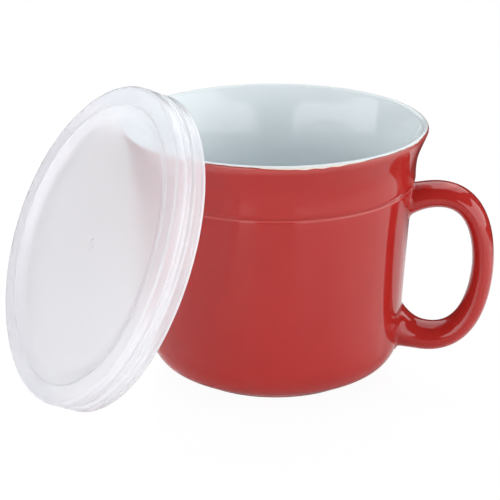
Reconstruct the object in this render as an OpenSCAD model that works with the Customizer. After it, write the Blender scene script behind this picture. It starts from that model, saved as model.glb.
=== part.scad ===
// Soup mug: a glazed stoneware mug with an ear handle, and its moulded lid leaning on the lip.
// Millimetres. +Z is up, the origin is the middle of the foot on the table, the handle points along +X.

/* [Mug] */
// Outside diameter of the lip
rim_d = 120; // [108:1:132]
// Height from the table to the top of the lip
mug_h = 101.6; // [92:0.2:112]
// Height of the collar, from the crease to the top of the lip
collar_h = 23.6; // [20:0.2:28]
// How far the foot of the collar is set in from the lip
collar_set = 4.65; // [3.6:0.05:5.6]
// Radius of the collar's rounded lower edge
collar_round = 3.4; // [2.4:0.1:4.2]
// Radius of the shoulder just below the crease
shoulder_round = 1; // [0.6:0.1:1.6]
// How far the lower wall draws in from the shoulder to the bottom corner
wall_draw = 3.9; // [2.6:0.1:5.2]
// Radius of the rounded bottom corner
corner_r = 14; // [11:0.5:17]
// Outside diameter of the foot ring
foot_d = 73; // [66:0.5:78]
// Height of the foot ring
foot_h = 2; // [1.4:0.1:3]
// Width of the foot ring
foot_w = 5; // [4:0.1:7]
// Radius on the edges of the foot ring
foot_round = 0.8; // [0.4:0.1:1.2]
// Thickness of the wall at the crease
wall_t = 4.4; // [3.6:0.1:5.4]
// Thickness of the floor, without the foot ring
floor_t = 5.6; // [4.6:0.1:7]
// Radius of the inside corner at the floor
inner_corner_r = 12; // [9:0.5:15]
// Outer radius on the lip
lip_out_r = 1.3; // [0.9:0.1:1.8]
// Inner radius on the lip
lip_in_r = 3.2; // [2.6:0.1:3.8]
// Lean of the wall from upright where it reaches the lip, in degrees
lip_flare = 22; // [16:1:28]
// Thickness of the white glaze that lines the inside and covers the lip
liner_t = 0.45; // [0.3:0.05:0.7]

/* [Handle] */
// How far the middle of the grip stands out past the lip
grip_out = 22.8; // [18:0.2:28]
// Thickness of the grip, in the plane of the handle
grip_t = 8.6; // [7:0.1:10.5]
// Width of the grip, across the plane of the handle
grip_w = 15; // [12:0.5:18]
// How much thicker the arms are at the wall than the grip
arm_swell = 3.6; // [2:0.1:5]
// How much wider the arms are at the wall than the grip
arm_spread = 2; // [0:0.1:4]
// Extra thickness where the upper root spreads on the wall
top_root_flare = 1.5; // [0.5:0.1:3]
// Extra thickness where the lower root spreads on the wall
low_root_flare = 5; // [2:0.1:6]
// Rise of the upper arm as it leaves the wall, in degrees
top_arm_rise = 24; // [14:1:32]
// Drop of the lower arm as it leaves the wall, in degrees
low_arm_drop = 26; // [14:1:34]
// Height of the upper root, as a share of the mug's height
top_root_share = 0.703; // [0.66:0.001:0.74]
// Height of the grip's outermost point, as a share of the mug's height
grip_share = 0.462; // [0.43:0.001:0.5]
// Height of the lower root, as a share of the mug's height
low_root_share = 0.188; // [0.16:0.001:0.22]

/* [Lid] */
// Height of the lid, from the skirt's edge to the crown
lid_h = 12.8; // [11.6:0.1:14]
// Thickness of the moulding
lid_t = 1.2; // [1:0.05:1.5]
// Room between the lip and the lid's outer wall
rim_room = 2.1; // [1.6:0.1:2.6]
// Width of the flat crown that sits on the lip
crown_w = 7.6; // [6.8:0.1:8.4]
// Radius of the crown's outer edge
crown_round = 1.6; // [1.4:0.1:2]
// Radius of the crown's inner edge
crown_in_round = 1.6; // [1.6:0.1:2.2]
// Depth of the middle panel below the crown
panel_drop = 2.4; // [1.8:0.1:3.2]
// Slope of the wall from the crown down to the panel, in degrees
slope_fall = 27; // [22:1:34]
// Radius of the cove between that wall and the panel
cove_r = 6; // [4:0.5:8]
// How much wider the skirt's edge is than the crown wall
skirt_flare = 0.4; // [0.2:0.05:0.6]
// Radius of the bead along the skirt's edge
edge_bead = 0.9; // [0.8:0.05:1.1]
// How far the snap bead reaches in under the lip
snap_bite = 0.4; // [0.2:0.05:0.7]
// Radius of the snap bead and of the groove outside it
snap_r = 1.7; // [1.5:0.05:1.9]
// Depth of the groove outside the snap bead
groove_d = 0.8; // [0.5:0.05:1]
// Depth of the snap bead's middle below the seat on the lip
snap_drop = 4.5; // [4.2:0.1:4.9]
// Radius of the mark left by the moulding gate
gate_r = 2.2; // [1.6:0.1:3]
// Depth of the gate mark
gate_d = 0.3; // [0.2:0.05:0.5]

/* [Lean] */
// Rise of the leaning lid's axis from level, in degrees
lid_lean = 24; // [18:1:30]
// Direction the lid's top faces, from +X, in degrees
lid_turn = 212.3; // [190:0.1:235]
// How far the lid stands to one side of the mug's middle
lid_slip = 1.4; // [-6:0.2:8]
// Clearance between the leaning lid and the lip
lean_gap = 0.3; // [0.3:0.05:0.6]

/* [Hidden] */
// Names of the sub-parts, and the one to draw

// Steps along each round or curved stretch, and sides of the handle's section
$fn = 96;
arc_steps = 8;
curve_steps = 14;
loft_steps = 26;
loft_sides = 28;

// Cuts run past the piece by this much, and joined outlines sink into each other by it
overrun = 1;

// Points of an outline closer together than this count as one
same_point = 0.001;

// Directions of an outline, in degrees
right_way = 0;
up_way = 90;
left_way = 180;
down_way = -90;
full_turn = 360;

// Half-angle of the crease between collar and shoulder, in degrees
crease_half = 60;

// Radii and heights of the mug's outline, worked out from the driving sizes
rim_r = rim_d / 2;
collar_r = rim_r - collar_set;
crease_r = collar_r - collar_round * (1 - cos(crease_half));
crease_z = mug_h - collar_h;
shoulder_r = crease_r + shoulder_round * (1 - cos(crease_half));
shoulder_z = crease_z - shoulder_round * sin(crease_half);
collar_z = crease_z + collar_round * sin(crease_half);
corner_z = foot_h + corner_r;
corner_wall_r = shoulder_r - wall_draw;
corner_mid_r = corner_wall_r - corner_r;
wall_lean = atan2(wall_draw, shoulder_z - corner_z);
foot_r = foot_d / 2;
floor_z = foot_h + floor_t;
lip_mid_r = rim_r - lip_out_r;

// Pull of the flare's curve, as shares of the collar's height, outside and inside
flare_pull_shares = [0.4, 0.35];
inside_pull_shares = [0.36, 0.42];

// Pull of the handle's curve at the roots and at the grip, as shares of its span
root_pull_shares = [0.99, 1.06];
grip_pull_shares = [0.43, 0.18];

// The roots start this far inside the wall, and spread over this last share of the arm
root_sink = 2;
root_bury = 12;
flare_share = 0.12;
side_spread_share = 0.6;

// Outline helpers: points along an arc, and along a cubic curve with two pulled ends
function aim(angle) = [cos(angle), sin(angle)];
function arc(middle, radius, from, to, steps = arc_steps) =
    [for (i = [0 : steps]) middle + radius * aim(from + (to - from) * i / steps)];
function bend(a, b, c, d, t) =
    pow(1 - t, 3) * a + 3 * pow(1 - t, 2) * t * b + 3 * (1 - t) * pow(t, 2) * c + pow(t, 3) * d;
function bend_way(a, b, c, d, t) =
    pow(1 - t, 2) * (b - a) + 2 * (1 - t) * t * (c - b) + pow(t, 2) * (d - c);
function joined(stretches) = let (line = [for (s = stretches) each s])
    [for (i = [0 : len(line) - 1]) if (i == 0 || norm(line[i] - line[max(0, i - 1)]) > same_point) line[i]];
function curve(a, b, c, d, steps = curve_steps) = [for (i = [0 : steps]) bend(a, b, c, d, i / steps)];

// Outside of the mug, from the middle of its base up to the widest circle of the lip
lip_out_mid = [lip_mid_r, mug_h - lip_out_r];
lip_start = lip_out_mid + lip_out_r * aim(-lip_flare);
flare_start = [collar_r, collar_z];
function outside() = joined([
    [[0, foot_h]],
    arc([corner_mid_r, corner_z], corner_r, down_way, -wall_lean),
    arc([shoulder_r - shoulder_round, shoulder_z], shoulder_round, -wall_lean, crease_half),
    arc([collar_r - collar_round, collar_z], collar_round, -crease_half, right_way),
    curve(flare_start,
          flare_start + flare_pull_shares[0] * collar_h * aim(up_way),
          lip_start - flare_pull_shares[1] * collar_h * aim(up_way - lip_flare),
          lip_start),
    arc(lip_out_mid, lip_out_r, -lip_flare, right_way)]);

// Inside of the mug, from the lip's widest circle to the middle of the floor, at a depth below the glaze
lip_in_mid = [lip_mid_r, mug_h - lip_in_r];
inner_wall_r = crease_r - wall_t;
inner_low_r = inner_wall_r - (crease_z - floor_z - inner_corner_r) * tan(wall_lean);
function lip_end(depth) = lip_in_mid + (lip_in_r - depth) * aim(left_way - lip_flare);
function wall_top(depth) = [inner_wall_r + depth, crease_z];
function inside(depth) = joined([
    arc(lip_out_mid, lip_out_r - depth, right_way, up_way),
    arc(lip_in_mid, lip_in_r - depth, up_way, left_way - lip_flare),
    curve(lip_end(depth),
          lip_end(depth) - inside_pull_shares[0] * collar_h * aim(up_way - lip_flare),
          wall_top(depth) + inside_pull_shares[1] * collar_h * aim(up_way - wall_lean),
          wall_top(depth)),
    arc([inner_low_r - inner_corner_r, floor_z + inner_corner_r], inner_corner_r + depth,
        -wall_lean, down_way),
    [[0, floor_z - depth]]]);

// The mug's outside as a solid form, which the handle is seated on
module mug_blank() {
    rotate_extrude()
        polygon(concat(outside(), [[0, lip_out_mid[1]]]));
}

// Section of the foot ring, with rounded edges where it stands
module foot_section() {
    polygon(concat(
        [[foot_r - foot_w, foot_h + overrun]],
        arc([foot_r - foot_w + foot_round, foot_round], foot_round, left_way, left_way + up_way),
        arc([foot_r - foot_round, foot_round], foot_round, down_way, right_way),
        [[foot_r, foot_h + overrun]]));
}

// Stoneware body: tapered wall, collar, flared lip and foot ring
module mug_body() {
    color([0.68, 0.16, 0.15])
        rotate_extrude()
            union() {
                polygon(concat(outside(), inside(liner_t)));
                foot_section();
            }
}

// White liner glaze: a thin coat over the floor, the inner wall and the lip
module liner_glaze() {
    inner_face = inside(liner_t);
    color([0.93, 0.92, 0.89])
        rotate_extrude()
            polygon(concat(inside(0), [for (i = [len(inner_face) - 1 : -1 : 0]) inner_face[i]]));
}

// Middle line of the handle in its own plane: x is the distance from the mug's axis, y the height
grip_at = [rim_r + grip_out, grip_share * mug_h];
top_root_at = [crease_r - root_sink, top_root_share * mug_h];
low_root_at = [corner_wall_r - root_sink, low_root_share * mug_h];
top_pull = root_pull_shares[0] * (grip_at[0] - top_root_at[0]) * aim(top_arm_rise);
low_pull = root_pull_shares[1] * (grip_at[0] - low_root_at[0]) * aim(-low_arm_drop);
grip_top_pull = [0, grip_pull_shares[0] * (top_root_at[1] - grip_at[1])];
grip_low_pull = [0, grip_pull_shares[1] * (low_root_at[1] - grip_at[1])];
top_arm = [top_root_at, top_root_at + top_pull, grip_at + grip_top_pull, grip_at];
low_arm = [grip_at, grip_at + grip_low_pull, low_root_at + low_pull, low_root_at];

// One station of the loft is its middle, its way along, its thickness and its width
function along(arm, t) = let (way = bend_way(arm[0], arm[1], arm[2], arm[3], t)) way / norm(way);
function spread(k, flare) = flare * pow(max(0, (k - 1 + flare_share) / flare_share), 2);
function station(arm, t, k, flare) = [
    bend(arm[0], arm[1], arm[2], arm[3], t),
    along(arm, t),
    grip_t + arm_swell * pow(k, 2) + spread(k, flare),
    grip_w + arm_spread * pow(k, 2) + side_spread_share * spread(k, flare)];
function buried(s, side) = [s[0] + side * root_bury * s[1], s[1], s[2], s[3]];
function stations() = let (
    top = [for (i = [0 : loft_steps]) station(top_arm, i / loft_steps, 1 - i / loft_steps, top_root_flare)],
    low = [for (i = [1 : loft_steps]) station(low_arm, i / loft_steps, i / loft_steps, low_root_flare)])
    concat([buried(top[0], -1)], top, low, [buried(low[loft_steps - 1], 1)]);

// The oval ring of points of one station
function ring(s) = [for (j = [0 : loft_sides - 1])
    let (turn = full_turn * j / loft_sides, out = s[2] / 2 * cos(turn), side = s[3] / 2 * sin(turn))
    [s[0][0] + out * s[1][1], side, s[0][1] - out * s[1][0]]];

// Ear handle: an oval section lofted along its line and seated on the mug's outside
module handle() {
    all = stations();
    last = len(all) - 1;
    points = [for (s = all) each ring(s)];
    skin = [for (i = [0 : last - 1], j = [0 : loft_sides - 1])
        let (a = i * loft_sides + j, b = i * loft_sides + (j + 1) % loft_sides)
        each [[a, b + loft_sides, b], [a, a + loft_sides, b + loft_sides]]];
    caps = [[for (j = [0 : loft_sides - 1]) j],
            [for (j = [loft_sides - 1 : -1 : 0]) last * loft_sides + j]];
    color([0.66, 0.14, 0.13])
        difference() {
            polyhedron(points, concat(skin, caps));
            mug_blank();
        }
}

// Radii and heights of the lid, from the lip that it snaps over
lid_r = rim_r + rim_room + lid_t;
skirt_r = lid_r + skirt_flare;
crown_in_r = lid_r - crown_w;
panel_z = lid_h - panel_drop;
cove_cut = cove_r * tan(slope_fall / 2);
crown_cut = crown_in_round * tan(slope_fall / 2);
cove_at = [crown_in_r - panel_drop / tan(slope_fall) - cove_cut, panel_z + cove_r];
crown_in_at = [crown_in_r + crown_cut, lid_h - crown_in_round];
crown_out_at = [lid_r - crown_round, lid_h - crown_round];
edge_at = [skirt_r - edge_bead, edge_bead];
snap_z = lid_h - lid_t - snap_drop;
gate_pip_share = 0.4;
gate_pip_r = gate_pip_share * gate_r;

// The snap bead and its groove are arcs that start and end on the lid's wall, seen in section
wall_top_z = lid_h - crown_round;
function wall_at(z) = lid_r + skirt_flare * (wall_top_z - z) / (wall_top_z - edge_bead);
groove_at = [lid_r + snap_r - groove_d, snap_z];
snap_at = [rim_r - snap_bite + snap_r, snap_z];
groove_half = acos((groove_at[0] - wall_at(snap_z)) / snap_r);
snap_half = acos((wall_at(snap_z) - lid_t - snap_at[0]) / snap_r);
edge_half = acos((edge_bead - lid_t) / edge_bead);

// Section of the lid: over the top from the middle, down the wall, round its edge and back below
function lid_section() = joined([
    [[0, panel_z], [gate_pip_r, panel_z], [gate_pip_r, panel_z - gate_d]],
    [[gate_r, panel_z - gate_d], [gate_r + gate_d, panel_z]],
    arc(cove_at, cove_r, down_way, down_way + slope_fall),
    arc(crown_in_at, crown_in_round, up_way + slope_fall, up_way),
    arc(crown_out_at, crown_round, up_way, right_way),
    arc(groove_at, snap_r, left_way - groove_half, left_way + groove_half),
    arc(edge_at, edge_bead, right_way, edge_half - full_turn, curve_steps),
    arc(snap_at, snap_r, -snap_half, snap_half - full_turn, curve_steps),
    arc(crown_out_at, crown_round - lid_t, right_way, up_way),
    arc(crown_in_at, crown_in_round - lid_t, up_way, up_way + slope_fall),
    arc(cove_at, cove_r + lid_t, down_way + slope_fall, down_way),
    [[0, panel_z - lid_t]]]);

// One-piece moulded lid: sunk panel, crown, wall with its snap bead, and beaded edge
module lid_form() {
    rotate_extrude()
        polygon(lid_section());
}

// Place of the leaning lid: its edge stands on the table and its panel leans on the lip
lean_z = edge_at[0] * cos(lid_lean) + edge_bead * (1 - sin(lid_lean));
lip_touch = lip_out_mid * aim(lid_lean) + lip_out_r + lean_gap;
lean_out = (lip_touch - panel_z + lid_t - lean_z * sin(lid_lean)) / cos(lid_lean);
side_way = lid_turn + down_way;
lean_at = lean_out * aim(lid_turn) + lid_slip * aim(side_way);

// Lid, leaning on the mug as it stands beside it
module lid() {
    color([0.88, 0.9, 0.9])
        translate([lean_at[0], lean_at[1], lean_z])
            rotate([0, up_way - lid_lean, lid_turn])
                lid_form();
}

mug_body();
handle();
liner_glaze();
lid();
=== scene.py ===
# %% [markdown]
# # A soup mug and its lid
# The mug is glazed stoneware: red outside, a cool white inside, with a crease under its collar and an ear handle.
# Its lid is one soft, milky moulding that leans on the lip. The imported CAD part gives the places, the bodies and
# the joint, and this lesson builds a finer surface over each solid and gives it its glaze or its plastic.

import math

import bmesh
import bpy
from mathutils import Matrix, Vector


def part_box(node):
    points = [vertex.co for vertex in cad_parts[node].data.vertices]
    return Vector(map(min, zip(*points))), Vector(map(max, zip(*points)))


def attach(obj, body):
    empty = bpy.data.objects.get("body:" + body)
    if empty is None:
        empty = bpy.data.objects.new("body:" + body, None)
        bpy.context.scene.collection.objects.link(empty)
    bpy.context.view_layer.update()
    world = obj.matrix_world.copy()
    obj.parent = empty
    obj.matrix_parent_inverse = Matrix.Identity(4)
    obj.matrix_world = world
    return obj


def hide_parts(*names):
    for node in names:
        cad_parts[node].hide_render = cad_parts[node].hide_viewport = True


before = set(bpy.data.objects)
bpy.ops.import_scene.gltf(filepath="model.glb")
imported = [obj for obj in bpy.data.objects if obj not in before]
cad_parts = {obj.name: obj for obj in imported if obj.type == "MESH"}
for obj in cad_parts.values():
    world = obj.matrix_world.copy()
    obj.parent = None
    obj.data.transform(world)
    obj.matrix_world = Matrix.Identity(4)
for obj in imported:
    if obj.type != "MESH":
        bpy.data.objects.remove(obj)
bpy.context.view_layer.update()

# %% [markdown]
# ## Lines of a section
# Mug and lid are turned forms, so each starts as a line in a half section: radius across, height up, in millimetres.
# The lines are made of arcs and pulled curves. They could be traced by hand, but arcs keep the same sizes as the CAD.

# %% Arcs and pulled curves
MM = 0.001


def aim(degrees):
    return Vector((math.cos(math.radians(degrees)), math.sin(math.radians(degrees))))


def arc(middle, radius, start, end, steps=12):
    return [Vector(middle) + radius * aim(start + (end - start) * i / steps) for i in range(steps + 1)]


def pulled(a, b, c, d, steps=20):
    line = []
    for i in range(steps + 1):
        t = i / steps
        line.append((1 - t) ** 3 * a + 3 * (1 - t) ** 2 * t * b + 3 * (1 - t) * t**2 * c + t**3 * d)
    return line


def joined(*stretches):
    line = []
    for point in (p for stretch in stretches for p in stretch):
        if not line or (point - line[-1]).length > 1e-4:
            line.append(Vector(point))
    return line


print("a quarter arc has", len(arc((0, 0), 1, 0, 90)), "points")

# %% [markdown]
# ## Turning a section on the lathe
# Blender has a Screw modifier for this, but a wavy glaze edge needs a section that changes a little on the way
# round, so the rings are made here: one copy of the line for each step of the turn, joined by quads.

# %% The lathe
def as_piece(name, form):
    """Turns an edited form into a smooth piece whose faces all look outward."""
    bmesh.ops.recalc_face_normals(form, faces=form.faces)
    mesh = bpy.data.meshes.new(name)
    form.to_mesh(mesh)
    form.free()
    mesh.shade_smooth()
    piece = bpy.data.objects.new(name, mesh)
    bpy.context.collection.objects.link(piece)
    print(name, len(mesh.vertices), "points,", len(mesh.polygons), "faces")
    return piece


def lathe(name, section, steps=288, mark=None):
    """Turns section(angle in degrees), a list of (radius, height) in mm, into a smooth mesh.
    mark(point) is a value that each point keeps as the attribute "mark", for its finish."""
    form = bmesh.new()
    marks = form.verts.layers.float.new("mark") if mark else None
    rings = []
    for i in range(steps):
        turn = 360 * i / steps
        way, line = aim(turn), section(turn)
        rings.append([form.verts.new((p.x * way.x * MM, p.x * way.y * MM, p.y * MM)) for p in line])
        for vertex, p in zip(rings[-1], line if mark else ()):
            vertex[marks] = mark(p)
    count = len(rings[0])
    for i in range(steps):
        here, there = rings[i], rings[(i + 1) % steps]
        for k in range(count - 1):
            form.faces.new((here[k], there[k], there[k + 1], here[k + 1]))
    bmesh.ops.remove_doubles(form, verts=form.verts, dist=1e-6)
    bmesh.ops.dissolve_degenerate(form, edges=form.edges, dist=1e-7)
    return as_piece(name, form)


# %% [markdown]
# ## The mug's sizes
# Most of these are the sizes that the CAD part was built to. The crease is half a millimetre higher, the wall half a
# millimetre thinner and the lip's inner round tighter, which puts the pale shapes inside the mug where they belong.
# The wall tapers straight from the rounded bottom corner to the shoulder, a crease sets off the collar, and the
# collar flares out to a rounded lip.

# %% Sizes of the mug, in millimetres and degrees
RIM_R, MUG_H, COLLAR_H, COLLAR_SET = 60.0, 101.6, 23.1, 4.65
COLLAR_ROUND, SHOULDER_ROUND, CREASE_HALF = 3.4, 1.0, 60.0
WALL_DRAW, CORNER_R, WALL_T, FLOOR_T, INNER_CORNER_R = 3.9, 14.0, 3.9, 5.6, 12.0
FOOT_R, FOOT_H, FOOT_W, FOOT_ROUND = 36.5, 2.0, 5.0, 0.8
FOOT_COVE_R, FOOT_COVE_DROP = 0.7, 0.65
LIP_OUT_R, LIP_IN_R, LIP_FLARE, LINER_T, INNER_FLARE_LOW = 1.3, 2.0, 22.0, 0.45, 4.0
FLARE_PULL_LOW, FLARE_PULL_HIGH = 0.4, 0.35  # these pulls are shares of the collar's height
INNER_PULL_LOW, INNER_PULL_HIGH = 0.42, 0.36
FLARE_STEPS = 28

collar_r = RIM_R - COLLAR_SET
crease = Vector((collar_r - COLLAR_ROUND * 0.5, MUG_H - COLLAR_H))
shoulder_mid = crease - SHOULDER_ROUND * aim(CREASE_HALF)
collar_mid = crease - COLLAR_ROUND * aim(-CREASE_HALF)
shoulder_r = shoulder_mid.x + SHOULDER_ROUND
corner_mid = Vector((shoulder_r - WALL_DRAW - CORNER_R, FOOT_H + CORNER_R))
wall_lean = math.degrees(math.atan2(WALL_DRAW, shoulder_mid.y - corner_mid.y))
lip_out_mid = Vector((RIM_R - LIP_OUT_R, MUG_H - LIP_OUT_R))
lip_in_mid = Vector((RIM_R - LIP_OUT_R, MUG_H - LIP_IN_R))
print("crease at radius %.2f, height %.2f; wall leans %.2f degrees" % (crease.x, crease.y, wall_lean))

# %% [markdown]
# ## The glaze line on the lip
# The white liner glaze was poured inside and run just over the lip, where it meets the red. The two glazes never
# meet in a perfect ring. A few waves of different length round the lip give the slightly ragged edge of the real one.

# %% Where red meets white, as an angle round the lip's outer edge
LINE_AT, RAGGED, RAGS = 46, 0.16, 53
WAVES = ((4, 3, 40), (3, 8, 110), (2, 31, 0), (2, 67, 70))  # size, number round the lip, start
RUNS = ((290, 23, 34), (62, 10, 24), (151, 7, 30), (215, 12, 18), (338, 6, 20))  # place, half width, drop


def glaze_line(turn):
    wave = sum(size * aim(count * turn + start).x for size, count, start in WAVES)
    for place, half, drop in RUNS:
        away = abs((turn - place + 180) % 360 - 180) / half
        wave -= drop * max(0.0, 1 - away**2) * (1 + RAGGED * aim(RAGS * turn).x)
    return LINE_AT + wave


line_angles = [glaze_line(turn) for turn in range(360)]
print("glaze line runs from %.1f to %.1f degrees" % (min(line_angles), max(line_angles)))

# %% [markdown]
# ## The stoneware body
# On the real mug the crease is turned in the clay and the glaze settles into it, so its bottom is a small hollow
# round, not a sharp corner. The hollow is the circle that touches the shoulder's and the collar's arcs from outside.

# %% Section of the body
CREASE_FILL = 0.55


def circle_between(a, ra, b, rb, fill):
    """Middle of a circle of radius fill that touches two circles from outside, on the outer side."""
    da, db, gap = ra + fill, rb + fill, b - a
    along = (da**2 - db**2 + gap.length_squared) / (2 * gap.length)
    across = math.sqrt(da**2 - along**2)
    way = gap.normalized()
    return a + along * way + across * Vector((way.y, -way.x))


fill_mid = circle_between(shoulder_mid, SHOULDER_ROUND, collar_mid, COLLAR_ROUND, CREASE_FILL)


def bearing(a, b):
    return math.degrees(math.atan2(b.y - a.y, b.x - a.x))


def flare_line():
    start, end = Vector((collar_r, collar_mid.y)), lip_out_mid + LIP_OUT_R * aim(-LIP_FLARE)
    low_pull, high_pull = FLARE_PULL_LOW * COLLAR_H * aim(90), FLARE_PULL_HIGH * COLLAR_H * aim(90 - LIP_FLARE)
    return pulled(start, start + low_pull, end - high_pull, end, FLARE_STEPS)


def inner_line(depth, line_start):
    """Inside of the mug from the glaze line over the lip to the middle of the floor, depth below the glaze."""
    lip_end = lip_in_mid + (LIP_IN_R - depth) * aim(180 - LIP_FLARE)
    wall_top = Vector((crease.x - WALL_T + depth, crease.y)) - INNER_FLARE_LOW * aim(90 - wall_lean)
    high_pull = INNER_PULL_HIGH * COLLAR_H * aim(90 - LIP_FLARE)
    low_pull = INNER_PULL_LOW * COLLAR_H * aim(90 - wall_lean)
    floor_z = FOOT_H + FLOOR_T
    low_r = crease.x - WALL_T - (crease.y - floor_z - INNER_CORNER_R) * math.tan(math.radians(wall_lean))
    return joined(
        arc(lip_out_mid, LIP_OUT_R - depth, line_start, 90, 10),
        arc(lip_in_mid, LIP_IN_R - depth, 90, 180 - LIP_FLARE, 14),
        pulled(lip_end, lip_end - high_pull, wall_top + low_pull, wall_top, FLARE_STEPS),
        [wall_top.lerp(Vector((low_r, floor_z + INNER_CORNER_R)), k / 8) for k in range(1, 8)],
        arc((low_r - INNER_CORNER_R, floor_z + INNER_CORNER_R), INNER_CORNER_R + depth, -wall_lean, -90, 18),
        [Vector((low_r - INNER_CORNER_R - k * (low_r - INNER_CORNER_R) / 5, floor_z - depth)) for k in range(1, 6)],
    )


def body_section(turn):
    line_end = glaze_line(turn)
    fill_low, fill_high = bearing(fill_mid, shoulder_mid), bearing(fill_mid, collar_mid)
    wall_low = corner_mid + CORNER_R * aim(-wall_lean)
    wall_high = shoulder_mid + SHOULDER_ROUND * aim(-wall_lean)
    return joined(
        [Vector((k * (FOOT_R - FOOT_W - FOOT_ROUND) / 6, FOOT_H)) for k in range(7)],
        arc((FOOT_R - FOOT_W - FOOT_ROUND, FOOT_H - FOOT_ROUND), FOOT_ROUND, 90, 0, 5),
        arc((FOOT_R - FOOT_W + FOOT_ROUND, FOOT_ROUND), FOOT_ROUND, 180, 270, 6),
        arc((FOOT_R - FOOT_ROUND, FOOT_ROUND), FOOT_ROUND, -90, 0, 6),
        arc((FOOT_R + FOOT_COVE_R, FOOT_H - FOOT_COVE_DROP), FOOT_COVE_R, 180, 96, 6),
        arc(corner_mid, CORNER_R, -84, -wall_lean, 26),
        [wall_low.lerp(wall_high, k / 12) for k in range(1, 12)],
        arc(shoulder_mid, SHOULDER_ROUND, -wall_lean, bearing(shoulder_mid, fill_mid), 8),
        arc(fill_mid, CREASE_FILL, fill_low, fill_high - 360 if fill_high > fill_low else fill_high, 8),
        arc(collar_mid, COLLAR_ROUND, bearing(collar_mid, fill_mid), 0, 10),
        flare_line(),
        arc(lip_out_mid, LIP_OUT_R, -LIP_FLARE, line_end, 8),
        inner_line(LINER_T, line_end),
    )


mug_body = lathe("mug_body_glazed", body_section)

# %% [markdown]
# ## The liner glaze
# The white glaze is a separate piece here because it is a separate coat on the mug: it starts at the glaze line on
# the lip, covers the inside to the middle of the floor, and has its own thickness. Its section is a thin closed band.

# %% Section of the liner
def liner_section(turn):
    face, back = inner_line(0, glaze_line(turn)), inner_line(LINER_T, glaze_line(turn))
    return face + back[::-1] + face[:1]


liner = lathe("liner_white", liner_section)

# %% [markdown]
# ## The handle
# The handle was cast by itself, then stuck on with slip, and glaze runs smoothly from it onto the wall. A curve with
# a bevel would give the tube, but not its oval section, its swelling arms or that run of glaze. So an oval is lofted
# along two pulled curves, as in the CAD, and near the wall each line of points bends out in a small hollow round.

# %% The handle's middle line, thickness and width
GRIP_OUT, GRIP_T, GRIP_W, TOP_SWELL, LOW_SWELL, ARM_SPREAD = 22.8, 8.6, 15.0, 2.0, 3.6, 2.0
TOP_FLARE, LOW_FLARE, FLARE_SHARE, SIDE_SHARE = 1.5, 5.0, 0.12, 0.6
GRIP_AT, TOP_AT, LOW_AT, ROOT_DEPTH = 0.462, 0.703, 0.1845, 2  # heights as shares of the mug's, and a depth
TOP_PULLS, LOW_PULLS = (0.43, 0.99, 22), (0.18, 1.06, -26.5)  # pull at the grip, pull at the root, rise
grip = Vector((RIM_R + GRIP_OUT, GRIP_AT * MUG_H))
top_root = Vector((crease.x - ROOT_DEPTH, TOP_AT * MUG_H))
low_root = Vector((shoulder_r - WALL_DRAW - ROOT_DEPTH, LOW_AT * MUG_H))


def arm_curve(root, grip_pull, root_pull, rise):
    first = grip + Vector((0, grip_pull * (root.y - grip.y)))
    return grip, first, root + root_pull * (grip.x - root.x) * aim(rise), root


top_arm, low_arm = arm_curve(top_root, *TOP_PULLS), arm_curve(low_root, *LOW_PULLS)
body_outline = [p for p in body_section(0) if p.y > FOOT_H + 0.5][: -len(inner_line(LINER_T, 0))]


def wall_radius(height):
    for low, high in zip(body_outline, body_outline[1:]):
        if low.y <= height <= high.y:
            return low.x + (high.x - low.x) * (height - low.y) / max(1e-9, high.y - low.y)
    return body_outline[0].x


print("wall radius at the roots %.2f and %.2f" % (wall_radius(top_root.y), wall_radius(low_root.y)))

# %% Points on the handle's surface
SIDES, RINGS, FILLET, SEAT, PAST_ROOT = 56, 46, 1.7, 0.8, 40
BENDS = (15, 30, 45, 60, 75, 86)


def handle_point(arm, flare, share, turn):
    """A point on an arm, with share 0 at the grip, 1 at the root and more inside the wall, and its middle."""
    t = min(share, 1.0)
    a, b, c, d = arm
    middle = (1 - t) ** 3 * a + 3 * (1 - t) ** 2 * t * b + 3 * (1 - t) * t**2 * c + t**3 * d
    way = ((1 - t) ** 2 * (b - a) + 2 * (1 - t) * t * (c - b) + t**2 * (d - c)).normalized()
    middle = middle + max(0.0, share - 1) * PAST_ROOT * way
    spread = flare * max(0.0, (t - 1 + FLARE_SHARE) / FLARE_SHARE) ** 2
    swell = LOW_SWELL if arm is low_arm else TOP_SWELL
    thick, wide = GRIP_T + swell * t**2 + spread, GRIP_W + ARM_SPREAD * t**2 + SIDE_SHARE * spread
    normal = Vector((-way.y, way.x)) if arm is low_arm else Vector((way.y, -way.x))
    across = normal * (thick / 2 * aim(turn).x)
    point = Vector((middle.x + across.x, wide / 2 * aim(turn).y, middle.y + across.y))
    return point, Vector((middle.x, 0, middle.y))


def off_wall(point):
    return math.hypot(point.x, point.y) - wall_radius(point.z)


def share_at(arm, flare, turn, gap):
    """The share of the arm at which its surface comes within gap of the wall."""
    low, high = 0.3, 1.4
    for _ in range(30):
        half = (low + high) / 2
        low, high = (half, high) if off_wall(handle_point(arm, flare, half, turn)[0]) > gap else (low, half)
    return low


def arm_rings(arm, flare):
    turns = [360 * j / SIDES for j in range(SIDES)]
    starts = [share_at(arm, flare, turn, FILLET) for turn in turns]
    rings = [
        [handle_point(arm, flare, i / RINGS * start, turn)[0] for turn, start in zip(turns, starts)]
        for i in range(RINGS + 1)
    ]
    for bend in BENDS:
        ring = []
        for turn in turns:
            point, middle = handle_point(arm, flare, share_at(arm, flare, turn, FILLET * (1 - aim(bend).y)), turn)
            out = Vector((point.x, point.y, 0)).normalized()
            side = point - middle
            side = (side - side.dot(out) * out).normalized()
            ring.append(point + FILLET * (1 - aim(bend).x) * side)
        rings.append(ring)
    rings.append([p - SEAT * Vector((p.x, p.y, 0)).normalized() for p in rings[-1]])
    return rings


top_rings, low_rings = arm_rings(top_arm, TOP_FLARE), arm_rings(low_arm, LOW_FLARE)
print("rings", len(top_rings), "and", len(low_rings))

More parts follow.
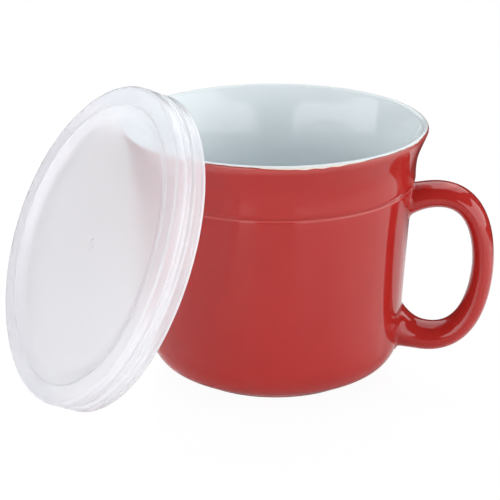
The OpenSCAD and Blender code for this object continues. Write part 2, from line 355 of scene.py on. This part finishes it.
# %% Skin the rings
def skin(name, rings):
    form = bmesh.new()
    grid = [[form.verts.new(p * MM) for p in ring] for ring in rings]
    for here, there in zip(grid, grid[1:]):
        for j in range(len(here)):
            k = (j + 1) % len(here)
            form.faces.new((here[j], here[k], there[k], there[j]))
    for end in (grid[0], grid[-1]):
        form.faces.new(end)
    return as_piece(name, form)


handle = skin("handle_glazed", top_rings[:0:-1] + low_rings)

# %% [markdown]
# ## The lid
# The lid is a thin moulding: a sunk panel, a flat crown that sits on the lip, a wall with a groove that stiffens it
# and snaps under the lip, and a beaded edge. It is soft, and leaning on the mug has bowed it a little like a saddle,
# so after turning the section each point is pushed along the lid's axis by a saddle curve and set in its place.

# %% A line with rounded corners
def rounded(corners, steps=6):
    """An open line through corners (x, z, radius), each inner corner rounded by its radius."""
    line = [Vector(corners[0][:2])]
    for before, corner, after in zip(corners, corners[1:], corners[2:]):
        here, radius = Vector(corner[:2]), corner[2]
        back, on = (Vector(before[:2]) - here).normalized(), (Vector(after[:2]) - here).normalized()
        half = back.angle(on) / 2
        middle = here + (back + on).normalized() * radius / math.sin(half)
        start = bearing(middle, here + back * radius / math.tan(half))
        turn = (bearing(middle, here + on * radius / math.tan(half)) - start + 180) % 360 - 180
        line += arc(middle, radius, start, start + turn, steps)
    return joined(line, [Vector(corners[-1][:2])])


# %% Section of the lid
LID_H, LID_T, PANEL_T, LID_R = 12.8, 0.75, 0.70, 63.0
CROWN_W, PANEL_DROP, SLOPE, COVE_R = 7.4, 2.2, 21.0, 11.5
BEAD_W, BEAD_IN, GROOVE_SIDE, SNAP_HALF, SNAP_SIDE = 0.9, 1.5, 0.7, 0.9, 0.6
SKIRT_FLARE, GROOVE_D, GROOVE_Z, GROOVE_HALF, SNAP_REACH = 0.15, 0.85, 6.7, 1.55, 59.6
GATE_R, GATE_PIP_R, GATE_D = 2.2, 0.9, 0.3
panel_z, skirt_r, crown_in_r = LID_H - PANEL_DROP, LID_R + SKIRT_FLARE, LID_R - CROWN_W
slope_foot_r = crown_in_r - PANEL_DROP / math.tan(math.radians(SLOPE))
inset = LID_T * math.tan(math.radians(SLOPE / 2))
groove_top, groove_low = GROOVE_Z + GROOVE_HALF, GROOVE_Z - GROOVE_HALF
top_line = rounded(  # each corner with its radius, height and rounding
    [(0, panel_z, 0), (GATE_PIP_R, panel_z, 0.05), (GATE_PIP_R + 0.1, panel_z - GATE_D, 0.05)]
    + [(GATE_R, panel_z - GATE_D, 0.1), (GATE_R + GATE_D, panel_z, 0.1)]
    + [(slope_foot_r * k / 12, panel_z, 0.1) for k in range(1, 11)]
    + [(slope_foot_r, panel_z, COVE_R), (crown_in_r, LID_H, 0.8)]
    + [(LID_R - CROWN_W / 2, LID_H, 0.5), (LID_R, LID_H, 1.2)]
    + [(LID_R + 0.12, groove_top, 0.3), (LID_R - GROOVE_D, groove_top - GROOVE_SIDE, 0.5)]
    + [(LID_R - GROOVE_D, groove_low + GROOVE_SIDE, 0.5), (LID_R + 0.18, groove_low, 0.3)]
    + [(skirt_r - 0.05, 2.4, 0.5), (skirt_r, 1.4, 0.4), (skirt_r, 0, 0.85), (skirt_r - BEAD_W, 0, 0)]
)
under_line = rounded(
    [(skirt_r - BEAD_W, 0, 0), (skirt_r - BEAD_IN, 0, 0.4), (skirt_r - BEAD_IN, 1.5, 0.4)]
    + [(skirt_r - LID_T, 2.3, 0.4), (LID_R + 0.15 - LID_T, groove_low - SNAP_SIDE, 0.5)]
    + [(SNAP_REACH, GROOVE_Z - SNAP_HALF, 0.8), (SNAP_REACH, GROOVE_Z + SNAP_HALF, 0.8)]
    + [(LID_R + 0.08 - LID_T, groove_top + SNAP_SIDE, 0.5), (LID_R - LID_T, LID_H - LID_T, 0.5)]
    + [(crown_in_r + inset, LID_H - LID_T, 0.5), (slope_foot_r + inset, panel_z - PANEL_T, COVE_R + LID_T)]
    + [(slope_foot_r * k / 6, panel_z - PANEL_T, 0.1) for k in range(5, 0, -1)]
    + [(0, panel_z - PANEL_T, 0)]
)


def finer(line, longest):
    """The same line with its long stretches cut up, beyond the flat panel."""
    cut = line[:1]
    for a, b in zip(line, line[1:]):
        parts = math.ceil((b - a).length / longest) if max(a.x, b.x) > slope_foot_r - 4 else 1
        cut += [a.lerp(b, k / parts) for k in range(1, parts + 1)]
    return cut


lid_line = finer(joined(top_line, under_line), 0.45)
# The ridges are whiter: thicker plastic, and a painted highlight along each ridge.
RIDGES = (  # each with its radius, height, half width and share
    (crown_in_r - 0.2, LID_H, 0.9, 0.5),
    (LID_R - 0.3, LID_H - 0.3, 0.9, 0.4),
    (LID_R, groove_top, 0.9, 0.6),
    (LID_R, groove_low, 0.8, 0.7),
    (skirt_r, 0.4, 1.2, 1.0),
)


def thick_and_highlit(point):
    """How much a point of the section belongs to one of the lid's whiter ridges, from 0 to 1: thicker plastic there,
    and a painted highlight along each ridge.
    """
    def near(r, z, half, share):
        return share * max(0.0, 1 - ((point.x - r) ** 2 + (point.y - z) ** 2) / half**2)

    return max(near(*ridge) for ridge in RIDGES)


lid = lathe("lid_milky", lambda turn: lid_line, mark=thick_and_highlit)

# %% Bow the lid and lean it on the lip
LID_LEAN, LID_TURN, LID_SLIP, LEAN_GAP = 24.0, 212.3, 1.4, 0.3
CAD_DROP, CAD_LID_T, CAD_SKIRT_R, EDGE_BEAD = 2.4, 1.2, 63.7, 0.9
BOW, BOW_TWIST, BOW_SINK, BOW_RISE, BOW_R = 1.05, 0.2, -0.45, 0.7, 60

for point in lid.data.vertices:
    down, side = point.co.x / (BOW_R * MM), point.co.y / (BOW_R * MM)
    point.co.z += MM * (BOW * (side**2 - down**2) - BOW_TWIST * 2 * side * down + BOW_SINK)
    point.co.x -= MM * BOW_RISE

lean_z = (CAD_SKIRT_R - EDGE_BEAD) * aim(LID_LEAN).x + EDGE_BEAD * (1 - aim(LID_LEAN).y)
reach = lip_out_mid.dot(aim(LID_LEAN)) + LIP_OUT_R + LEAN_GAP - (LID_H - CAD_DROP - CAD_LID_T)
lean_out = (reach - lean_z * aim(LID_LEAN).y) / aim(LID_LEAN).x
place = lean_out * aim(LID_TURN) + LID_SLIP * aim(LID_TURN - 90)
lean = (
    Matrix.Translation(Vector((place.x, place.y, lean_z)) * MM)
    @ Matrix.Rotation(math.radians(LID_TURN), 4, "Z")
    @ Matrix.Rotation(math.radians(90 - LID_LEAN), 4, "Y")
)
lid.data.transform(lean)
low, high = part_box("lid")
ours = [v.co for v in lid.data.vertices]
print("CAD lid", [round(1000 * x, 2) for x in (*low, *high)])
print("bowed  ", [round(1000 * f(v[i] for v in ours), 2) for f in (min, max) for i in range(3)])

# %% [markdown]
# ## Writing shaders as sums
# A finish is a small calculation: where is this point, how thick is the glaze here, how much does that change the
# colour. One class wraps a node's output so that such sums can be written as Python, and one method adds any node.

# %% The shader helper
class Signal:
    """One output of a shader node; arithmetic on it adds Math nodes."""

    def __init__(self, shader, socket):
        self.shader, self.socket = shader, socket

    def maths(self, operation, *values):
        return self.shader.add("ShaderNodeMath", {"operation": operation}, dict(enumerate(values)))

    def __add__(self, other):
        return self.maths("ADD", self, other)

    def __sub__(self, other):
        return self.maths("SUBTRACT", self, other)

    def __rsub__(self, other):
        return self.maths("SUBTRACT", other, self)

    def __mul__(self, other):
        return self.maths("MULTIPLY", self, other)

    def __truediv__(self, other):
        return self.maths("DIVIDE", self, other)

    def __rtruediv__(self, other):
        return self.maths("DIVIDE", other, self)

    def __pow__(self, other):
        return self.maths("POWER", self, other)

    __radd__, __rmul__ = __add__, __mul__

    def most(self, other):
        return self.maths("MAXIMUM", self, other)

    def size(self):
        return self.maths("ABSOLUTE", self)

    def ease(self, start, end):
        """0 before start, 1 after end, and a smooth step between."""
        return self.shader.add(
            "ShaderNodeMapRange", {"interpolation_type": "SMOOTHSTEP"}, {0: self, 1: start, 2: end, 3: 0.0, 4: 1.0}
        )

    def within(self, start, end, edge):
        """1 between start and end, 0 outside, with soft edges."""
        return self.ease(start - edge, start + edge) * (1 - self.ease(end - edge, end + edge))


class Shader:
    """A node tree that is built by adding nodes."""

    def __init__(self, owner):
        owner.use_nodes = True
        self.tree = owner.node_tree
        self.tree.nodes.clear()

    def add(self, kind, settings={}, sockets={}, out=0):
        node = self.tree.nodes.new(kind)
        for key, value in settings.items():
            setattr(node, key, value)
        for key, value in sockets.items():
            if isinstance(value, Signal):
                self.tree.links.new(value.socket, node.inputs[key])
            else:
                node.inputs[key].default_value = value
        return Signal(self, node.outputs[out]) if node.outputs else node

    def mix(self, share, a, b):
        """A colour between a and b."""
        return self.add("ShaderNodeMix", {"data_type": "RGBA"}, {0: share, 6: a, 7: b}, 2)

    def seen_as(self, *kinds):
        """1 for rays of these kinds and 0 for others."""
        kinds = [self.add("ShaderNodeLightPath", out=kind) for kind in kinds]
        return kinds[0] if len(kinds) == 1 else kinds[0].most(kinds[1])

    def straight(self):
        """1 for rays from the camera, also through the lid, and 0 for rays that were reflected or scattered first."""
        mirrors, scatters = (self.add("ShaderNodeLightPath", out=kind + " Depth") for kind in ("Glossy", "Diffuse"))
        turns = mirrors + scatters
        return self.seen_as("Is Camera Ray", "Is Transmission Ray") * (1 - turns.ease(0.2, 0.8))

    def noise(self, spot, scale, detail=3.0, roughness=0.5):
        sockets = {"Vector": spot, "Scale": scale, "Detail": detail, "Roughness": roughness}
        return self.add("ShaderNodeTexNoise", {}, sockets)


print("shader helper ready")

# %% [markdown]
# ## Red glaze
# A glossy coloured glaze over pale stoneware. It is one deep red, but it is never even: it drifts slightly in
# strength, runs thin and a little lighter over the lip, and carries fine pinholes. Along the crease it is painted
# lighter, partly for thin glaze and partly as a painted highlight. Its surface has a long, shallow ripple that bends
# reflections. The foot ring is wiped before firing, so it is bare clay, and its lowest edge, where it stands, is
# painted dark as shade.

# %% The red glaze
def red_glaze():
    material = bpy.data.materials.new("red_glaze")
    s = Shader(material)
    spot = s.add("ShaderNodeTexCoord", out="Object")
    height = s.add("ShaderNodeSeparateXYZ", {}, {0: spot}, "Z")
    drift, speck = s.noise(spot, 38.0, 2.0), s.noise(spot, 900.0, 2.0, 0.6)
    red = s.mix(drift, (0.390, 0.0190, 0.0155, 1), (0.436, 0.0240, 0.0200, 1))
    red = s.mix(speck.ease(0.66, 0.74) * 0.22, red, (0.300, 0.016, 0.014, 1))
    # Painted lighter along the crease: partly thin glaze, partly a painted highlight on the crease line.
    crease_thin_glaze_and_highlight = 1 - (height - crease.y * MM).size().ease(0.0002, 0.0007)
    red = s.mix(crease_thin_glaze_and_highlight * 0.45, red, (0.620, 0.130, 0.120, 1))
    near_lip = (height + (drift - 0.5) * 0.004).ease((MUG_H - 4.2) * MM, (MUG_H - 1.8) * MM)
    red = s.mix(near_lip * 0.30, red, (0.560, 0.160, 0.145, 1))
    red = s.mix(height.ease((MUG_H - 0.95) * MM, (MUG_H - 0.75) * MM) * 0.5, red, (0.250, 0.110, 0.090, 1))
    bare_and_shaded = (height + (drift - 0.5) * 0.0003).within(0.0007, 0.0017, 0.0002)
    clay = s.mix(speck, (0.86, 0.42, 0.39, 1), (0.94, 0.50, 0.45, 1))
    # Painted shade: the lowest half millimetre of the foot ring, where it stands on the table, is mixed to a dark
    # brown, in the clay colour and in its mask.
    foot_shade = 1 - (height + (drift - 0.5) * 0.0003).ease(0.0004, 0.0007)
    clay = s.mix(foot_shade, clay, (0.200, 0.110, 0.090, 1))
    bare_and_shaded = bare_and_shaded.most(foot_shade)
    ripple = s.noise(spot, 26.0, 1.0) + s.noise(spot, 260.0, 1.0) * 0.05 - speck.ease(0.72, 0.80) * 0.03
    dents = s.add("ShaderNodeBump", {}, {"Strength": 0.10, "Distance": 0.002, "Height": ripple})
    colour, rough = s.mix(bare_and_shaded, red, clay), 0.05 + drift * 0.05 + bare_and_shaded * 0.6
    look = {"Base Color": colour, "Roughness": rough, "IOR": 1.5, "Normal": dents}
    glaze = s.add("ShaderNodeBsdfPrincipled", {}, look)
    s.add("ShaderNodeOutputMaterial", {}, {"Surface": glaze})
    return material


red = red_glaze()
print(red.name, len(red.node_tree.nodes), "nodes")

# %% [markdown]
# ## White liner glaze
# The white is cool and glossy. Where it thins out over the lip's edge the warm clay and the red below show through,
# so the last millimetre turns cream.

# %% The white glaze
def white_glaze():
    material = bpy.data.materials.new("white_glaze")
    s = Shader(material)
    spot = s.add("ShaderNodeTexCoord", out="Object")
    parts = {axis: s.add("ShaderNodeSeparateXYZ", {}, {0: spot}, axis) for axis in "XYZ"}
    out = (parts["X"] * parts["X"] + parts["Y"] * parts["Y"]) ** 0.5
    drift, speck = s.noise(spot, 45.0, 2.0), s.noise(spot, 700.0, 2.0, 0.6)
    white = s.mix(drift, (0.745, 0.812, 0.838, 1), (0.765, 0.832, 0.858, 1))
    thin = (out + (drift - 0.5) * 0.0006 + (speck - 0.5) * 0.0006).ease((RIM_R - 0.75) * MM, (RIM_R - 0.05) * MM)
    white = s.mix(thin * 0.8, white, (0.80, 0.68, 0.58, 1))
    ripple = s.noise(spot, 30.0, 1.0) + s.noise(spot, 260.0, 1.0) * 0.05
    dents = s.add("ShaderNodeBump", {}, {"Strength": 0.10, "Distance": 0.002, "Height": ripple})
    look = {"Base Color": white, "Roughness": 0.02 + drift * 0.03, "IOR": 1.45, "Normal": dents}
    glaze = s.add("ShaderNodeBsdfPrincipled", {}, look)
    s.add("ShaderNodeOutputMaterial", {}, {"Surface": glaze})
    return material


white = white_glaze()
print(white.name, len(white.node_tree.nodes), "nodes")

# %% [markdown]
# ## Milky plastic
# The lid is natural polyethylene: half clear, half milky. Light that goes in is scattered, so the mug shows through
# as a pink blur, and more sharply close to where it touches. A rough, partly transmitting surface does the same.
# The mould was lightly textured, which gives a fine grain and faint flow marks.

# %% The lid's plastic
def milky_plastic():
    material = bpy.data.materials.new("milky_plastic")
    s = Shader(material)
    spot = s.add("ShaderNodeTexCoord", out="Object")
    thick = s.add("ShaderNodeAttribute", {"attribute_name": "mark"}, out="Fac")
    drift, grain = s.noise(spot, 30.0, 3.0), s.noise(spot, 2600.0, 2.0)
    milky = s.mix(drift, (0.953, 0.962, 0.990, 1), (0.961, 0.970, 0.996, 1))
    dents = s.add("ShaderNodeBump", {}, {"Strength": 0.03, "Distance": 0.0004, "Height": drift})
    rough = 0.20 + drift * 0.03 + grain * 0.02
    look = {"Base Color": milky, "Roughness": rough, "IOR": 1.38, "Normal": dents}
    look.update({"Coat Weight": 0.1, "Coat Roughness": 0.14})
    clear = s.add("ShaderNodeBsdfPrincipled", {}, {**look, "Transmission Weight": 0.74})
    # Denser, opaque plastic on the ridges: thicker there, and a painted highlight along each ridge.
    dense_highlit_plastic = s.add("ShaderNodeBsdfPrincipled", {}, {**look, "Base Color": (0.79, 0.81, 0.84, 1)})
    glowing = s.add("ShaderNodeBsdfTranslucent", {}, {"Color": (0.950, 0.955, 1.0, 1)})
    thin_wall = s.add("ShaderNodeMixShader", {}, {0: 0.13, 1: clear, 2: glowing})
    solid = s.add("ShaderNodeMixShader", {}, {0: 0.09 + thick * 0.91, 1: thin_wall, 2: dense_highlit_plastic})
    clear_air = s.add("ShaderNodeBsdfTransparent", {}, {"Color": (1, 1, 1, 1)})
    lit_through = s.add("ShaderNodeMixShader", {}, {0: s.seen_as("Is Shadow Ray"), 1: solid, 2: clear_air})
    s.add("ShaderNodeOutputMaterial", {}, {0: lit_through})
    return material


milky = milky_plastic()
print(milky.name, len(milky.node_tree.nodes), "nodes")

# %% [markdown]
# ## Dressing the bodies
# Each new piece takes its finish and rides on the body that its solid belongs to, and that solid's CAD mesh is
# hidden.

# %% Put the pieces on their bodies
for piece, finish, body, node, slot in (
    (mug_body, red, "mug", "mug_body", "red_glaze"),
    (handle, red, "mug", "handle", "red_glaze"),
    (liner, white, "mug", "liner_glaze", "white_glaze"),
    (lid, milky, "lid", "lid", "milky_plastic"),
):
    piece.data.materials.append(finish)
    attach(piece, body)
    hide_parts(node)

# %% [markdown]
# ## The studio
# Two large soft boxes stood low at the left and the right of the camera, and a smaller one hung overhead and behind.
# The rest of the room was dim. In the glaze they show as two pale shapes inside the mug, long pink streaks on the
# handle, and deep red between them. Lamps could be hung there, but a world that is shaded by direction gives the
# same light with less noise. To the camera, and through the lid, the world is plain white.

# %% The room and its soft boxes
CAMERA_AT, CAMERA_LOOK = Vector((0.07010, -0.80154, 0.33077)), Vector((-0.09383, 0.93897, -0.33096))
FRONT = math.atan2(CAMERA_AT.x, -CAMERA_AT.y)
ROOM, DIM_ROOM, RIGHT_BOX, LEFT_BOX, BACK_BOX = 0.42, 0.05, 2.5, 2.7, 1.4
RIGHT_AT, RIGHT_HALF, RIGHT_DIP, RIGHT_Z, RIGHT_TALL = 70, 54, 45, 0.128, 0.30  # turns in degrees, heights as sines
LEFT_AT, LEFT_HALF, LEFT_Z, LEFT_TALL = -56, 41, 0.1925, 0.319
BACK_X, BACK_RISE, BACK_WIDE, BACK_HALF = 0.05, 46, 0.5, 28
TILT = 0.11  # how far a box's upper and lower edges rise or fall in one radian of turn


def grey(level):
    return (level, level, level, 1)


world = bpy.data.worlds.new("dim_room_with_boxes")
bpy.context.scene.world = world
w = Shader(world)
toward = w.add("ShaderNodeTexCoord", out="Generated")
x, y, z = (w.add("ShaderNodeSeparateXYZ", {}, {0: toward}, axis) for axis in "XYZ")
right = x * math.cos(FRONT) + y * math.sin(FRONT)
near = x * math.sin(FRONT) - y * math.cos(FRONT)
turned = right.maths("ARCTAN2", right, near)
rise = z.maths("ARCTAN2", z, 0 - near)


def soft_box(across, along, half_across, half_along):
    """1 inside an oblong with rounded corners, 0 outside, and a soft edge between."""
    return 1 - ((across / half_across) ** 6 + (along / half_along) ** 6).ease(0.8, 1.2)


right_level = z - (turned - math.radians(RIGHT_DIP)).size() * TILT - RIGHT_Z
right_box = soft_box(turned - math.radians(RIGHT_AT), right_level, math.radians(RIGHT_HALF), RIGHT_TALL)
left_level = z - turned * TILT - LEFT_Z
left_box = soft_box(turned - math.radians(LEFT_AT), left_level, math.radians(LEFT_HALF), LEFT_TALL)
back_box = soft_box(right - BACK_X, rise - math.radians(BACK_RISE), BACK_WIDE, math.radians(BACK_HALF))
mirrored = w.seen_as("Is Glossy Ray") * (1 - w.seen_as("Is Transmission Ray"))
light = right_box * RIGHT_BOX + left_box * LEFT_BOX + back_box * BACK_BOX + ROOM - mirrored * (ROOM - DIM_ROOM)
plain = w.straight()
light = light * (1 - plain) + plain
w.add("ShaderNodeOutputWorld", {}, {0: w.add("ShaderNodeBackground", {}, {"Color": light, "Strength": 1.0})})
print("camera stands %.1f degrees round from the front" % math.degrees(FRONT))

# %% [markdown]
# ## The table
# A smooth white table. Seen directly, and through the lid, it is the white of the picture, and a share of its real
# shading is left so that the mug keeps its shadow. In the glaze it shows as it is lit near the mug; beyond, it is
# painted as a dark reflection, a dim glow that only mirrored rays see, as if the table ended in the dim room.

# %% Floor
FLOOR_HALF, FLOOR_WHITE, FLOOR_GLOW, FAR_SHADE = 4, 0.92, 1.03, 0.05
FAR_START, FAR_END = 0.11, 0.20
floor_mesh = bpy.data.meshes.new("floor")
corners = [(FLOOR_HALF * x, FLOOR_HALF * y, 0) for x, y in ((-1, -1), (1, -1), (1, 1), (-1, 1))]
floor_mesh.from_pydata(corners, [], [(0, 1, 2, 3)])
floor = bpy.data.objects.new("floor", floor_mesh)
bpy.context.collection.objects.link(floor)
table = bpy.data.materials.new("white_table")
t = Shader(table)
seen = t.straight() * FLOOR_WHITE
on_floor = t.add("ShaderNodeNewGeometry", out="Position")
# Painted dark reflection: beyond the mug, mirrored rays see a dim glow in place of the lit table.
far = t.add("ShaderNodeSeparateXYZ", {}, {0: on_floor}, "Y").ease(FAR_START, FAR_END)
far = far * t.seen_as("Is Glossy Ray") * (1 - t.seen_as("Is Transmission Ray"))
board = t.add("ShaderNodeBsdfPrincipled", {}, {"Base Color": grey(0.92), "Roughness": 0.16, "IOR": 1.5})
glow = t.add("ShaderNodeEmission", {}, {"Color": grey(1.0), "Strength": FLOOR_GLOW})
shade = t.add("ShaderNodeEmission", {}, {"Color": grey(1.0), "Strength": FAR_SHADE})
board = t.add("ShaderNodeMixShader", {}, {0: far, 1: board, 2: shade})
t.add("ShaderNodeOutputMaterial", {}, {0: t.add("ShaderNodeMixShader", {}, {0: seen, 1: board, 2: glow})})
floor.data.materials.append(table)
print("floor", [round(v, 2) for v in floor.dimensions])

# %% [markdown]
# ## The camera
# The place, the aim and the lens were measured from the ellipses of the lip, the crease and the foot in the
# photograph: a long lens, a little under a metre away, looking down by about nineteen degrees.

# %% Camera
camera_data = bpy.data.cameras.new("camera")
FOCAL_PX, PHOTO_PX, SENSOR_MM = 2132.3, 500, 36
camera_data.sensor_width, camera_data.lens = SENSOR_MM, FOCAL_PX * SENSOR_MM / PHOTO_PX
camera = bpy.data.objects.new("camera", camera_data)
bpy.context.collection.objects.link(camera)
camera.location = CAMERA_AT
camera.rotation_euler = CAMERA_LOOK.to_track_quat("-Z", "Y").to_euler()
bpy.context.scene.camera = camera
bpy.context.scene.view_settings.view_transform = "Standard"
print("lens %.1f mm" % camera_data.lens)
